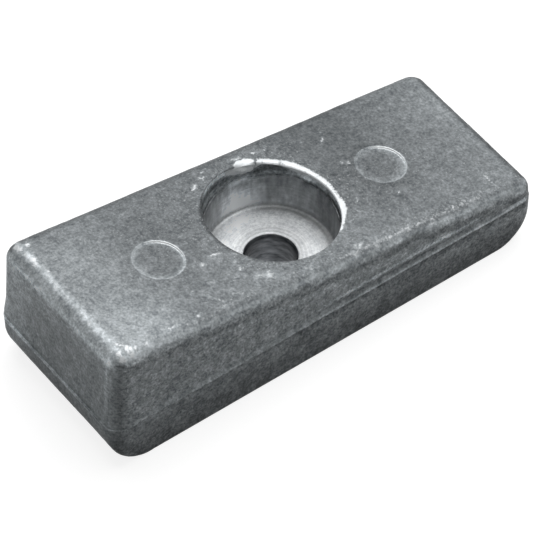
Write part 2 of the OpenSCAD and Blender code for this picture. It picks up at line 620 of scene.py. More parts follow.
def fill_flat(outer, inner, inside, lift, finish, face_down=False):
    """Triangles between an outer and an inner loop, through the points inside, lifted into space."""
    outer = unique_loop(outer)
    flat = np.concatenate([outer, inner, inside])
    count = len(outer)
    fence = [(k, (k + 1) % count) for k in range(count)]
    fence += [(count + k, count + (k + 1) % len(inner)) for k in range(len(inner))]
    made = delaunay_2d_cdt([Vector(point) for point in flat], fence, [],
                           INSIDE_OUTER_LOOP, loop_tolerance)
    corners = np.array([tuple(point) for point in made[0]])
    faces = np.array([face for face in made[2] if len(face) == 3])
    source = np.array([numbers[0] for numbers in made[3]])
    kinds = source[faces]
    all_inner = ((kinds >= count) & (kinds < count + len(inner))).all(1)
    a, b, c = (corners[faces[:, k]] for k in range(3))
    area = np.abs(np.cross(b - a, c - a)) / 2
    faces = faces[~all_inner & (area > smallest_area)]
    if face_down:
        faces = faces[:, ::-1]
    numbers = lay(lift(corners))
    skin_faces.extend(numbers[faces].tolist())
    face_finish.extend([finish] * len(faces))
    return len(faces)


# %% Fill the top and the mounting face
top_spacing = 0.37
top_gap = 0.2
bottom_spacing = 2.4
points_array = np.array(skin_points)
top_outer = points_array[top_loop]
top_outer = np.column_stack([(top_outer - (0, 0, top_mid)) @ along_top, top_outer[:, 1]])

mark_places = np.array([(side * mark_offset / math.cos(slope_angle), 0.0) for side in (-1, 1)])
ring_radii = (-0.45, -0.25, -0.1, 0.0, 0.1, 0.22, 0.4)
mark_steps = 104
mark_turn = np.linspace(0, 2 * math.pi, mark_steps, endpoint=False)
mark_points = np.concatenate([
    place + (mark_r + extra) * np.stack([np.cos(mark_turn), np.sin(mark_turn)], 1)
    for place in mark_places for extra in ring_radii])

inside = spread(block_length / 2, block_width / 2, top_spacing, 5)
low_x, high_x = top_outer[:, 0].min(), top_outer[:, 0].max()
half_here = np.interp(inside[:, 0], (low_x, high_x), (thick_ball[1], thin_ball[1]))
keep = (inside[:, 0] > low_x + top_gap) & (inside[:, 0] < high_x - top_gap)
keep &= np.abs(inside[:, 1]) < half_here - top_gap
rim_gap = np.interp(np.arctan2(inside[:, 1], inside[:, 0]) % (2 * math.pi), hole_turn,
                    mouth_r + bevel_width, period=2 * math.pi)
keep &= np.hypot(*inside.T) > rim_gap + top_gap
for place in mark_places:
    away = np.hypot(*(inside - place).T) - mark_r
    keep &= (away < ring_radii[0] - top_gap) | (away > ring_radii[-1] + top_gap)
inside = np.concatenate([inside[keep], mark_points])
top_count = fill_flat(top_outer, rim_flat, inside, on_top, AS_CAST)

bottom_outer = points_array[mounting_loop][:, :2]
inside = spread(block_length / 2, block_width / 2, bottom_spacing, 6)
edge_x, edge_y = bottom_outer.max(0) - bottom_spacing / 2
keep = (np.abs(inside) < (edge_x, edge_y)).all(1) & (np.hypot(*inside.T) > bore_r + bottom_spacing * 0.75)
bottom_inner = points_array[bore_mouth][:, :2]
bottom_count = fill_flat(bottom_outer, bottom_inner, inside[keep],
                         lambda flat: np.column_stack([flat, 0 * flat[:, 0]]), AS_CAST, True)
print("triangles on top and below:", top_count, bottom_count)

# %% Weld the skin into one closed mesh
weld_distance = 0.002
skin = bpy.data.meshes.new("anode_skin")
skin.from_pydata([Vector(point) * MM for point in skin_points], [], skin_faces)
skin.polygons.foreach_set("material_index", face_finish)
welding = bmesh.new()
welding.from_mesh(skin)
bmesh.ops.remove_doubles(welding, verts=welding.verts, dist=weld_distance * MM)
open_edges = sum(1 for edge in welding.edges if len(edge.link_faces) != 2)
welding.to_mesh(skin)
welding.free()
skin.update()
triangles = sum(len(face.vertices) - 2 for face in skin.polygons)
print("skin has", len(skin.vertices), "points,", triangles, "triangles,", open_edges, "open edges")

# %% [markdown]
# ## Relief
# No casting is flat. Metal shrinks as it cools and leaves slow waves, the mould's coating prints a
# fine orange peel, and its ejector pins press two shallow round marks into the top. All of it moves
# points along their normals, by up to a quarter of a millimetre. The peel is coarser on the upright
# walls, where the metal froze first. The mounting face and the turned pocket stay true.

# %% Measure where every point lies
def measured(kind):
    """The places ("co") or the normals ("normal") of all points, one row each."""
    values = np.empty(len(skin.vertices) * 3)
    skin.vertices.foreach_get(kind, values)
    return values.reshape(-1, 3)


places = measured("co") / MM
normals = measured("normal")
x, y, z = places.T
normal_x, normal_y, normal_z = normals.T
from_axis = np.hypot(x, y)
below_top = top_z(x) - z
in_hole = (from_axis < mouth_r + 0.02) & (below_top > 0.02)
in_pocket = in_hole & (z < pocket_top_z + 0.2)
cast_band = in_hole & ~in_pocket
outside = rise(from_axis, mouth_r + 0.3, mouth_r + 1.6)
outside[in_hole] = 0.0
off_floor = rise(z, 0.05, 0.8)
wallness = fall(normal_z, 0.35, 0.85)


def tell(where, chosen):
    """Prints how many points lie in a place."""
    print("points " + where + ":", int((chosen > 0.5).sum()))


tell("in the pocket", in_pocket)

# %% Move the points
wave_size = 11.0
wave_height = 0.07
peel_size = 1.1
peel_height_top = 0.012
peel_height_wall = 0.055
sharp_from = 38

waves = wave_height * ripple(places, wave_size, 7)
peel = ripple(places * (0.6, 1, 1), peel_size, 8) + 0.5 * ripple(places, peel_size * 0.45, 9)
end_share = rise(-normal_x, 0.3, 0.9) * wallness
peel *= peel_height_top + (peel_height_wall - peel_height_top) * wallness
peel *= 1 - 0.55 * end_share
relief = (waves + peel) * outside * off_floor

band_rough = 0.1 * ripple(places * (1, 1, 1.8), 1.5, 10) + 0.05 * ripple(places, 0.6, 11)
relief += band_rough * cast_band * rise(below_top, 0.1, 0.8)

mark_away = np.min([np.hypot(x - side * mark_offset, y) for side in (-1, 1)], 0)
on_upper = (below_top < 0.5) & (from_axis > mouth_r)
mark_shape = -mark_depth * fall(mark_away, mark_r - 0.2, mark_r + 0.02)
mark_shape += 0.06 * peak(mark_away, mark_r + 0.15, 0.16)
relief += mark_shape * on_upper

moved = places + normals * relief[:, None]
skin.vertices.foreach_set("co", (moved * MM).ravel())
skin.polygons.foreach_set("use_smooth", [True] * len(skin.polygons))
skin.update()
skin.set_sharp_from_angle(angle=math.radians(sharp_from))
print("relief in mm, from", round(float(relief.min()), 2), "to", round(float(relief.max()), 2))

# %% [markdown]
# ## Where the metal is rubbed bright, and where light and shade are painted
# Zinc goes dull in the air within weeks, and every knock shows as bright metal again. Knocks land
# on what stands out: the rounded edge over the thick end, its two corners and the rim of the hole.
# Scuffs and smears are scattered over the top, and rubbing that doesn't go through leaves the crust
# paler in the smears. Most other paler and darker patches are painted light: a painted sheen on the
# thick half of the top, painted highlights along edges and lines, and painted shade under the front
# edge, on the rounded far and thin edges, low on the walls and in the hole. Each point of the skin
# stores the rubbing and the painted light, and the material turns them into torn patches and paler or
# darker crust. The numbers are places in mm and shares of full strength, read off the real block,
# and each term is one patch.

# %% Rub the edge over the thick end
rubbed = np.zeros(len(places))
wear_and_painted_light = np.zeros(len(places))
on_top_face = (below_top < 0.6) & (from_axis > mouth_r)


def rub(amount):
    """Keeps the stronger of what is already rubbed and the new amount."""
    np.maximum(rubbed, amount, out=rubbed)


thick_edge = places - thick_ball * (1, 0, 1)
edge_angle = np.degrees(np.arctan2(thick_edge[:, 2], -thick_edge[:, 0]))
near_thick_edge = (x < thick_ball[0] + 1.4) & (z > thick_ball[2] - 1)
broken_up = 0.88 + 0.55 * ripple(places * (0.4, 1, 0.4), 1.9, 21) + 0.35 * ripple(places, 0.9, 22)
wander = 5 * ripple(places * (0, 1, 0), 5.0, 30)
line_angle = edge_angle + 0.8 * wander
upper_line = between(line_angle, 63, 72, 84, 96)
upper_line = upper_line * (1 - 0.12 * rise(-y, 7, 9) - 0.55 * rise(-y, 10.5, 13))
lower_line = peak(edge_angle + wander, 19, 9) * rise(-y, -16, -12)
rub((0.62 * upper_line + 0.2 * lower_line) * (0.4 + 0.6 * broken_up) * near_thick_edge)
# The crust's tone here is painted light: a painted highlight along the top of the rounded edge and on its
# lower line, and painted shade between them and towards the back.
tone = 0.25 * peak(edge_angle, 74, 14) + 0.65 * upper_line * broken_up + 0.55 * lower_line
tone += 0.22 * peak(edge_angle, 32, 6) - 0.22 * peak(edge_angle, 44, 6)
tone -= 0.6 * rise(y, 4, 12) * between(edge_angle, 20, 28, 54, 62)
wear_and_painted_light += tone * near_thick_edge
tell("on the thick edge", near_thick_edge)

# %% Rub the rim of the hole
rim_turn = np.degrees(np.arctan2(y, x))
rim_width = by_turn(rim_turn, bevel_widths)
on_rim = fall(from_axis - mouth_r, rim_width - 0.1, rim_width + 0.6)
rim_depth = by_turn(rim_turn, bevel_depths)
on_rim = on_rim * (from_axis > mouth_r - 0.02) * (below_top < rim_depth + 0.15)
was_cut = between(rim_turn, cut_from, cut_full, 84, cut_to)
rim_noise = ripple(places, 1.6, 23) + 0.8 * ripple(places, 0.6, 29)
rim_strength = 0.88 + 0.08 * rise(rim_turn, 52, 72) - 0.2 * peak(rim_turn, 66, 1.2)
torn_rim = 0.26 * rim_noise + (0.24 - 0.12 * rise(rim_turn, -25, -5)) * ripple(places, 0.7, 31)
rub((rim_strength + torn_rim) * on_rim * was_cut)
lip_drops = {-38: 0.3, 0: 1.0, 20: 1.4, 34: 1.2, 44: 0.7, 60: 0.4, 66: 1.3, 72: 2.3, 80: 2.6, 89: 2.2,
             95: 1.5, 110: 0.3}
lip_drop = by_turn(rim_turn, lip_drops)
on_lip = in_hole * fall(below_top, 0.65 * lip_drop, lip_drop) * (from_axis < mouth_r + 0.03)
lip_strength = 0.76 + 0.12 * peak(rim_turn, 78, 14) + 0.25 * rim_noise
rub(lip_strength * on_lip * between(rim_turn, cut_from, cut_full, 92, 100))
tell("on the cut bevel", on_rim * was_cut)

# %% Rub the top and its front edge
front_edge = peak(y, -15.8, 0.9) * (below_top < 1.2)
rub(0.58 * front_edge * rise(x, -16, 8) * (1 - 0.35 * rise(x, 34, 43)))
rub(0.45 * on_top_face * rise(-y, 8, 15))
top_rub = 0.4 + 0.05 * peak(from_axis, mouth_r, 5) - 0.14 * rise(y, 0, 8) * rise(x, 12, 18)
rub(top_rub * on_top_face)
tell("on the top", on_top_face)

# %% Knocks on the corners
# Each knock is a place (x, y, z) and a reach, in tenths of a millimetre, and a strength.
knocks = (
    (-437, -132, 275, 6, 0.98), (-431, -138, 275, 6, 1.02), (-425, -146, 274, 6, 1.04),
    (-428, -154, 273, 7, 1), (-421, -153, 272, 6, 1.02), (-413, -155, 271, 6, 0.9),
    (-446, -152, 274, 8, 1.04), (-447, -163, 269, 8, 1), (-442, -168, 267, 6, 0.9),
    (-426, -165, 268, 8, 0.94), (-465, -148, 257, 7, 0.92), (-390, -156, 266, 6, 0.8),
    (-463, 59, 259, 6, 0.95), (-462, 72, 260, 5, 0.6), (-459, 88, 264, 8, 0.6), (-449, 156, 271, 8, 0.96),
    (-448, 146, 273, 8, 0.96), (-430, 146, 274, 7, 0.9), (-447, 129, 274, 9, 0.78),
    (-443, 112, 275, 9, 0.98), (-438, 72, 275, 10, 0.72), (-445, 102, 273, 12, 0.75),
    (-446, 35, 273, 10, 0.7), (-446, -65, 273, 10, 0.75))
tear = 0.18
for *tenths, amount in knocks:
    knock_x, knock_y, knock_z, reach = np.array(tenths) / 10
    away = np.linalg.norm(places - (knock_x, knock_y, knock_z), axis=1)
    rub((amount + tear * rim_noise) * peak(away, 0, reach))
print("knocks:", len(knocks))

# %% Scuffs and smears on the top
# By strength, each scuff is a place (x, y), half a length and half a width, in tenths of a
# millimetre, and a turn in degrees.
scuffs = {
    0.8: ((401, -126, 36, 2.2, 92),),
    0.76: ((202, 34, 9, 6, 35), (119, -158, 16, 7, 50)),
    0.74: ((142, -159, 20, 7, -3), (241, -167, 9, 3.5, 5)),
    0.72: ((-86, 119, 16, 5, 35), (-271, -147, 10, 5, 20)),
    0.7: ((26, 144, 24, 6, -8), (66, 139, 16, 5, -25), (190, 40, 6, 5, 70), (-164, -37, 8, 3.5, 10),
        (-153, -39, 13, 5, -7), (-137, -72, 6, 4, 25), (168, -160, 15, 4, 0), (192, -158, 9, 4, 15),
        (154, -54, 9, 4.5, 75), (-422, -160, 12, 3, 94)),
    0.68: ((-60, 133, 14, 4, -10), (90, 140, 11, 4, 40), (195, 105, 14, 4.5, 45), (345, 123, 5, 4, 40),
        (-189, -48, 10, 7, 10), (-182, 30, 7, 4.5, 0), (-116, -121, 13, 5, -30), (-104, -129, 14, 4, 35),
        (-85, -144, 9, 5, 90), (19, -157, 5, 4.5, 50), (-217, -154, 9, 3.5, -10), (66, -163, 9, 6, 30),
        (77, -147, 6, 3.5, 55), (234, -75, 7, 4, 28), (240, -145, 7, 4, 75), (203, -140, 6, 4, 45),
        (296, -157, 5, 4, 50)),
    0.66: ((158, 120, 5, 4, 45), (206, 124, 7, 4, 0), (-49, 146, 6, 4, 20), (-184, 11, 5, 3, 30),
        (-98, -120, 9, 3.5, 0), (-101, -137, 11, 3, -40), (-138, -89, 9, 3, 75), (-27, -156, 15, 7, 50),
        (-46, -157, 5, 3.5, 35), (-286, -155, 6, 4, 90), (-330, -149, 22, 5, 4), (-181, -123, 8, 3, 5),
        (-153, -144, 4, 3, 0), (138, -76, 5, 3, -50), (-350, -40, 9, 3, 60), (-305, -20, 15, 2.5, 35),
        (-205, -92, 18, 2.5, -35), (-250, -98, 13, 2.5, 50), (-160, -106, 12, 2.5, 15),
        (-124, -56, 9, 2.5, -60)),
    0.64: ((380, -154, 6, 3, 30), (-383, 49, 8, 4, 70), (-220, -130, 26, 2.5, -55), (-240, 126, 8, 4, 10),
        (300, -24, 5, 3.5, 0), (-365, 95, 14, 2.5, 30)),
    0.62: ((-126, -122, 12, 4, 20), (-225, -115, 22, 3, 40), (-180, -136, 18, 3.5, -15),
        (-134, -139, 12, 3, 60), (86, -150, 14, 5, 40), (110, -142, 10, 4, -35)),
    0.6: ((-89, -136, 12, 8, 30), (-166, -44, 16, 3, -40), (-205, -42, 12, 3, 50), (-40, -149, 14, 6, 10),
        (39, 149, 18, 5, 10)),
    0.56: ((-103, -127, 28, 10, -12),)}
smear = np.zeros(len(places))
for amount, strokes in scuffs.items():
    for *tenths, angle in strokes:
        scuff_x, scuff_y, long_side, short_side = np.array(tenths) / 10
        turn = math.radians(angle)
        along = (x - scuff_x) * math.cos(turn) + (y - scuff_y) * math.sin(turn)
        across = (y - scuff_y) * math.cos(turn) - (x - scuff_x) * math.sin(turn)
        from_middle = np.hypot(along / long_side, across / short_side)
        stroke = fall(from_middle, 0.35, 1.35) * on_top_face
        rub((amount - tear / 2 + tear * rim_noise) * stroke)
        smear = np.maximum(smear, stroke)
wear_and_painted_light += 0.35 * smear
print("scuffs and smears:", sum(len(strokes) for strokes in scuffs.values()))

# %% Rims of the ejector marks
mark_turn_here = np.degrees(np.arctan2(y, x - np.sign(x) * mark_offset))
# How bright each rim is, by its turn, is a painted highlight, strongest towards the thin end and the back.
# It is made by paler crust and by rubbing the rim partly bare.
ring_highlight_by_turn = {0: 1.5, 45: 2.1, 90: 0.72, 135: 0.45, 180: 0.28, 225: 0.57, 270: 0.48, 315: 0.72}
ring_wear_and_highlight = peak(mark_away, mark_r - 0.06, 0.25) * on_upper * by_turn(mark_turn_here, ring_highlight_by_turn)
rub(ring_wear_and_highlight * 0.6)
wear_and_painted_light += 0.9 * ring_wear_and_highlight
# Inside, each mark is a little paler towards its rim, and dark just outside it.
near_ring = rise(mark_away, mark_r - 1.6 - 0.8 * (x > 0), mark_r) * (mark_away < mark_r + 0.1)
wear_and_painted_light += 0.48 * near_ring * on_upper
wear_and_painted_light -= 0.15 * peak(mark_away, mark_r + 0.9, 0.6) * (x > 0) * on_upper
tell("on the rims of the marks", ring_wear_and_highlight)

# %% Paint sheen and shade on the top
# The top is painted paler towards the thick end, the thin end and the front, a painted sheen, and darker
# towards the back, a painted shade.
tone = -0.04 + 0.52 * rise(-x, 24, 40) + 0.15 * rise(x, 34, 46)
tone += (0.38 - 0.12 * rise(x, -34, -26)) * rise(-y, -3, 15) * (1 - 0.5 * rise(x, 0, 25))
tone += 0.1 * rise(x, 32, 38) * rise(y, 1, 6) + 0.1 * peak(x, -32, 4) * rise(-y, 6, 10)
tone -= (0.12 + 0.25 * peak(x, -38, 4)) * rise(y, 9, 15)
tone -= 0.22 * peak(x, 20, 8) * rise(y, -12, -4)
tone -= 0.12 * rise(x, 39, 43) * rise(-y, 2, 8)
tone += 0.06 * rise(x, 26, 34) + 0.08 * rise(y, 10, 14) + 0.2 * rise(-x, 41, 44) * rise(y, 9, 14)
wear_and_painted_light += tone * rise(normals @ top_normal, 0.6, 0.95) * (below_top < 1.5)
tell("made paler by hands", tone * on_top_face > 0.2)

# %% Paint shade on the rounded edges at the far side and at the thin end
# Painted shade on the rounded edges along the far side and at the thin end, less dark along a thin line
# near the thin end.
far_round = rise(normal_y, 0.06, 0.45) * (0.32 + 0.18 * rise(-x, 30, 38) - 0.2 * rise(x, 30, 36))
thin_round = 0.8 * rise(normals @ along_top, 0.12, 0.4) * (x > 42) - 0.16 * peak(x, 44.4, 0.5)
painted_edge_shade = np.where(thin_round > far_round, thin_round, far_round + np.minimum(thin_round, 0))
painted_edge_shade *= fall(below_top, 2.0, 3.2) * (y > -15.5)
wear_and_painted_light -= painted_edge_shade
tell("on the dark far and thin edges", painted_edge_shade > 0.2)

# %% Paint highlights and shade on the rounded edge over the front
front_wall = (y < -15) * rise(-normal_y, 0.45, 0.95)
lean_up = np.degrees(np.arcsin(np.clip(normals @ top_normal, -1, 1)))
on_round = between(below_top, 0.2, 0.7, 3.2, 4.0)
# A painted highlight high on the round, painted shade low on it, and painted highlight streaks along it.
streaks = ripple(places * (0.06, 1, 1), 0.75, 24) + 0.5 * ripple(places * (0.15, 1, 1), 0.4, 25)
fillet_top = lean_up - 8 * peak(x, 15, 12)
tone = 0.58 * peak(fillet_top, 51, 13)
tone -= (0.3 + 0.2 * rise(x, -2, 6)) * peak(fillet_top, 14, 14)
tone += (0.45 + 0.25 * rise(x, -14, -2)) * streaks * peak(lean_up, 30, 28)
tone += 0.14 * peak(lean_up, 64, 7) - 0.16 * rise(-x, 33, 37) * peak(lean_up, 50, 12)
wear_and_painted_light += tone * (y < -15) * rise(-normal_y, 0.1, 0.4) * on_round
tell("on the front edge", (y < -15) * on_round)

# %% Paint light and shade on the front and the thick end
end_wall = (x < -43) * rise(-normal_x, 0.25, 0.8)
front_line = parting_z + front_rise
end_line = parting_z - thick_dip
# Both walls are painted paler all over, painted light that the soft box doesn't give them, and lower down
# darker towards the bottom, a painted shade. The lower front also gets random mottle and a paler painted
# band on its right half.
wear_and_painted_light += 0.78 * front_wall + 0.78 * end_wall
low_wall = fall(z, parting_z - 0.8, parting_z - 0.2)
wear_and_painted_light -= (0.35 + 0.6 * rise(-z, -9, -1)) * low_wall * np.maximum(front_wall, end_wall)
low_mottle = ripple(places, 1.5, 26) + 0.7 * ripple(places, 0.75, 27)
wear_and_painted_light += (0.35 * low_mottle + 0.3 * rise(x, 18, 34) * peak(z, 7.6, 1.6)) * low_wall * front_wall
wear_and_painted_light -= (0.5 - 0.25 * peak(y, 14, 5) - 0.25 * peak(y, -13, 5)) * fall(z, 4, 8) * end_wall
# The front's parting line gets a painted highlight over a painted shadow, the front's right half a second
# such pair, and the thick end's parting line a painted shadow over a painted highlight.
line_front = front_wall * rise(x, -42, -34)
wear_and_painted_light += 0.55 * peak(z, front_line + 0.45, 0.3) * line_front * (0.3 + 0.9 * rise(x, -20, 15))
wear_and_painted_light -= 0.5 * peak(z, front_line - 0.6, 0.5) * line_front * (0.5 + 0.5 * rise(x, -30, 10))
on_right = between(x, -4, 3, 31, 36)
wear_and_painted_light += (0.7 * peak(z, 12.7, 0.4) - 0.45 * peak(z, 11.45, 0.4)) * front_wall * on_right
# A paler painted band under the front's top edge and a paler painted patch low in its middle.
wall_head = peak(below_top, 4.0, 0.8) * between(x, -34, -24, 30, 36)
wear_and_painted_light += (0.35 * wall_head + 0.3 * peak(x, -5, 6) * fall(z, 4, 6)) * front_wall
line_end = end_wall * rise(y, -17, -11)
wear_and_painted_light += (0.8 * peak(z, end_line - 0.15, 0.28) - 0.35 * peak(z, end_line + 0.65, 0.35)) * line_end
# The thick end gets a thin painted highlight near its front corner and is painted paler towards the back
# and the top.
wear_and_painted_light += 0.45 * peak(y, -14.6, 0.45) * end_wall * rise(z, 11, 14)
wear_and_painted_light += (0.35 * rise(y, -2, 16) + 0.25 * rise(y, 6, 13) + 0.1 * rise(-y, 2, 8)) * end_wall
wear_and_painted_light += 0.3 * rise(z, 17, 25) * end_wall
# A painted shade darkens the upright corner between the thick end and the front.
corner_turn = np.degrees(np.arctan2(normal_y, normal_x)) % 360
on_corner = (np.abs(normal_z) < 0.5) * (x < -40)
wear_and_painted_light -= (0.4 + 0.7 * peak(corner_turn, 234, 14)) * peak(corner_turn, 228, 22) * on_corner
tell("on the front", front_wall)
tell("on the thick end", end_wall)

# %% Paint reflections and shade on the pocket's wall
wall_turn = rim_turn % 360
on_pocket_wall = in_pocket * rise(z, seat_z + 0.1, seat_z + 1.0)
# How bright the wall is, by turn and height, is painted light: painted reflections on its far side,
# painted shade on its sides and under the cast band, and paler near the seat, with streaks and random
# tone.
wall_light_by_turn = {0: -0.8, 15: -0.25, 40: -0.2, 55: -0.4, 62: 0.0, 72: 0.75, 84: 0.9, 95: 0.45, 108: -0.3,
              120: -0.5, 130: -0.35, 150: 0.2, 300: -0.8}
tone = by_turn(wall_turn, wall_light_by_turn)
tone -= 0.5 * peak(wall_turn, 82, 14) * (rise(z, 13.5, 15.5) - rise(z, 15.5, 16.3))
tone += 0.5 * peak(wall_turn, 60, 16) * rise(z, 15.6, 16.2)
tone += 0.4 * peak(z, seat_z + 0.6, 1.2) - 0.6 * peak(wall_turn, 131, 9) * rise(z, 12, 14)
tone += 0.35 * ripple(places * (1, 1, 0.2), 1.3, 34) + 0.3 * ripple(places * (1, 1, 0.35), 0.6, 35)
tone += 0.22 * ripple(places, 0.8, 36)
wear_and_painted_light += tone * on_pocket_wall
tell("on the pocket's wall", on_pocket_wall)

# %% Paint shade and highlights on the seat and the bore
on_seat = in_pocket * (z < seat_z + 0.1) * (from_axis > bore_r)
# The seat's tone is painted light: paler in a ring round its middle, at the back and towards the thick
# end, and darker near the wall except at the back, a painted shadow of the wall.
tone = 0.25 * peak(from_axis, 9.0, 1.3)
tone += 0.3 * peak(wall_turn, 88, 24) * rise(from_axis, 8.5, 10.5)
tone -= 1.0 * rise(from_axis, 10.4, 11.8) * (1 - peak(wall_turn, 88, 30))
tone -= 0.25 * peak(from_axis, bore_r + 0.55, 0.3) - 0.15 * rise(-x, -7, 3)
wear_and_painted_light += tone * on_seat
# Painted shade in the corner at the foot of the wall, except at the back.
painted_foot_shade = rise(z, seat_z + 0.02, seat_z + 0.25) * (1 - on_pocket_wall) * (1 - peak(wall_turn, 84, 34))
wear_and_painted_light -= 1.0 * painted_foot_shade * in_pocket
wear_and_painted_light -= (0.45 * peak(from_axis, 5.75, 0.22) + 0.25 * peak(from_axis, 6.6, 0.2)) * on_seat
# The bore is painted darker, a painted shade, with a painted highlight on its far wall.
in_bore = (from_axis < bore_r + 0.1) & (z > 0.2)
wear_and_painted_light += (0.5 * peak(wall_turn, 66, 20) - 0.35) * in_bore
tell("on the seat", on_seat)
tell("in the bore", in_bore)

# %% Paint light and shade on the cast band under the rim
far_left = rise(wall_turn, 86, 98)
# The band's tone by turn and height is painted light: paler where it faces the light, painted highlights
# on the lip, the ledge and the back, and painted shadow under the lip and along the border with the
# pocket. The noise is random tone.
tone = 0.55 - 0.75 * rise(wall_turn, 122, 134) + 0.45 * ripple(places, 1.3, 28)
tone += far_left * (1.2 * fall(below_top, 0.9, 1.7) - 0.9 * peak(below_top, 2.3, 0.5))
bright_back = peak(wall_turn, 78, 18)
tone -= 0.5 * peak(z, pocket_top_z + 0.25, 0.3) * (1 - bright_back)
tone += bright_back * (0.8 * peak(z, 16.8, 0.5) - 0.3 * peak(z, 18.0, 0.35))
tone += 1.1 * rise(z, 17.0, 17.7) * peak(wall_turn, 22, 16)
tone += peak(wall_turn, 50, 13) * (0.4 - 1.2 * rise(z, 17.3, 18.0))
wear_and_painted_light += tone * cast_band
tell("in the cast band", cast_band)

# %% Paint shade and a highlight on the rounded side of the rim
over_rim = from_axis - mouth_r
on_edge = (below_top < 1.2) * (over_rim > -0.05)
# Painted shade on the rounded rim towards the thick end and the front, where it turns away from the light,
# and a thin painted highlight just outside it at the back and on the thick end's side.
left_dark = between(wall_turn, 122, 136, 190, 215)
dark_reach = 0.25 + 0.4 * rise(wall_turn, 144, 152)
wear_and_painted_light -= 0.8 * left_dark * fall(over_rim, 0.4 * dark_reach, 1.4 * dark_reach) * on_edge
near_dark = between(wall_turn, 195, 215, 250, 265)
wear_and_painted_light -= 0.5 * near_dark * fall(over_rim, 0.1, 1.0) * on_edge
lit_places = {90: 0.25, 120: 0.25, 130: 0.4, 142: 0.5, 150: 0.95, 190: 1.1, 200: 1.1}
lit_ring = peak(over_rim, by_turn(wall_turn, lit_places), 0.2)
left_lit = between(wall_turn, 92, 98, 185, 200)
wear_and_painted_light += (0.25 + 0.25 * peak(wall_turn, 137, 9)) * left_lit * lit_ring * (below_top < 0.5)
tell("on the dark side of the rim", (left_dark + near_dark) * on_edge * (over_rim < 1))

# %% Store the wear and the painted light on the skin
for store_name, values in (("rubbed", rubbed), ("wear_and_painted_light", wear_and_painted_light), ("wall", wallness * (1 - 0.8 * end_share))):
    store = skin.attributes.new(store_name, "FLOAT", "POINT")
    store.data.foreach_set("value", values.astype(np.float32))
print("share of the skin that is rubbed:", round(float((rubbed > 0.5).mean()), 3))

# %% [markdown]
# ## As-cast zinc alloy
# Zinc poured into a metal mould comes out grey and slightly blue. Its skin is a thin crust of oxide
# and carbonate, which scatters light like a dull stone, so it is a rough surface with little
# metallic shine. The crust is mottled at every size: clouds over a centimetre, blotches over a
# millimetre and grains that are finer still. The finest real grains are too small to show here, so
# they are drawn as coarse as about half a millimetre. Where the crust is rubbed through, the bare
# metal underneath is bright.

# %% Helpers for the recipes
# The kind of each mix, then the numbers of its share, first and second inputs and of its output.
FLOAT_MIX = ("FLOAT", 0, 2, 3, 0)
COLOUR_MIX = ("RGBA", 0, 6, 7, 2)
pale_step = 2.3


def per_mm(size):
    """Noise scale, in a scene in metres, for a pattern that repeats about every size in mm."""
    return 1 / (size * MM)


def blend(tree, mix, share, first, second):
    """The output of a mix of two values or of two colours."""
    kind, share_in, first_in, second_in, result = mix
    made = add(tree, "Mix", {share_in: share, first_in: first, second_in: second}, data_type=kind)
    return made.outputs[result]


def apply_wear_and_painted_light(tree, colour):
    """The colour made paler or darker by the painted light and the wear stored on the skin: pale_step
    times for each step.
    """
    pale_value = add(tree, "Attribute", attribute_name="wear_and_painted_light").outputs["Fac"]
    gain = add(tree, "Math", {0: pale_step, 1: pale_value}, operation="POWER")
    return add(tree, "VectorMath", {0: colour, "Scale": gain}, operation="SCALE")


print("a grain of half a millimetre has the noise scale", round(per_mm(0.5)))

# %% Start the cast skin
cast_zinc, tree = start_material("as_cast_zinc_alloy")
spot = add(tree, "TexCoord").outputs["Object"]
rub_value = add(tree, "Attribute", attribute_name="rubbed").outputs["Fac"]
wall_value = add(tree, "Attribute", attribute_name="wall").outputs["Fac"]
print("cast skin starts with", len(tree.nodes), "nodes")

# %% The mottled crust
clouds = add(tree, "TexNoise", {"Vector": spot, "Scale": per_mm(9), "Detail": 3})
blotches = add(tree, "TexNoise", {
    "Vector": spot, "Scale": per_mm(1.6), "Detail": 4, "Roughness": 0.6})
grains = add(tree, "TexNoise", {
    "Vector": spot, "Scale": per_mm(0.5), "Detail": 2, "Roughness": 0.6})
blotched = blend(tree, FLOAT_MIX, 0.28, blotches, clouds)
mottle = blend(tree, FLOAT_MIX, 0.46, blotched, grains)

# Thin crooked lines where the noise passes its middle look like the flow marks of the walls.
flow = add(tree, "TexNoise", {
    "Vector": spot, "Scale": per_mm(1.5), "Detail": 2, "Roughness": 0.5, "Distortion": 0.8})
flow_middle = add(tree, "Math", {0: flow, 1: 0.5}, operation="SUBTRACT")
to_middle = add(tree, "Math", {0: flow_middle}, operation="ABSOLUTE")
worms = add(tree, "MapRange", {
    "Value": to_middle, "From Min": 0.0, "From Max": 0.07, "To Min": 1.0, "To Max": 0.0},
    interpolation_type="SMOOTHSTEP")
worm_share = add(tree, "Math", {0: worms, 1: wall_value}, operation="MULTIPLY")
wormy = add(tree, "Math", {0: worm_share, 1: 0.07, 2: mottle}, operation="MULTIPLY_ADD")
contrast = add(tree, "MapRange", {"Value": wall_value, "To Min": 0.7, "To Max": 0.98})
centred = add(tree, "Math", {0: wormy, 1: 0.5}, operation="SUBTRACT")
toned = add(tree, "Math", {0: centred, 1: contrast, 2: 0.5}, operation="MULTIPLY_ADD")
crust = add(tree, "ValToRGB", {"Fac": toned})
crust_tones = ((0.3, "#3f4345"), (0.43, "#63676a"), (0.5, "#787c7e"), (0.57, "#8c9093"),
               (0.7, "#b1b4b6"))
ramp = crust.color_ramp.elements
ramp.remove(ramp[1])
for number, (position, tone) in enumerate(crust_tones):
    stop = ramp[0] if number == 0 else ramp.new(position)
    stop.position = position
    stop.color = paint(tone)
crust_with_painted_light = apply_wear_and_painted_light(tree, crust)
print("crust has", len(crust_tones), "tones")

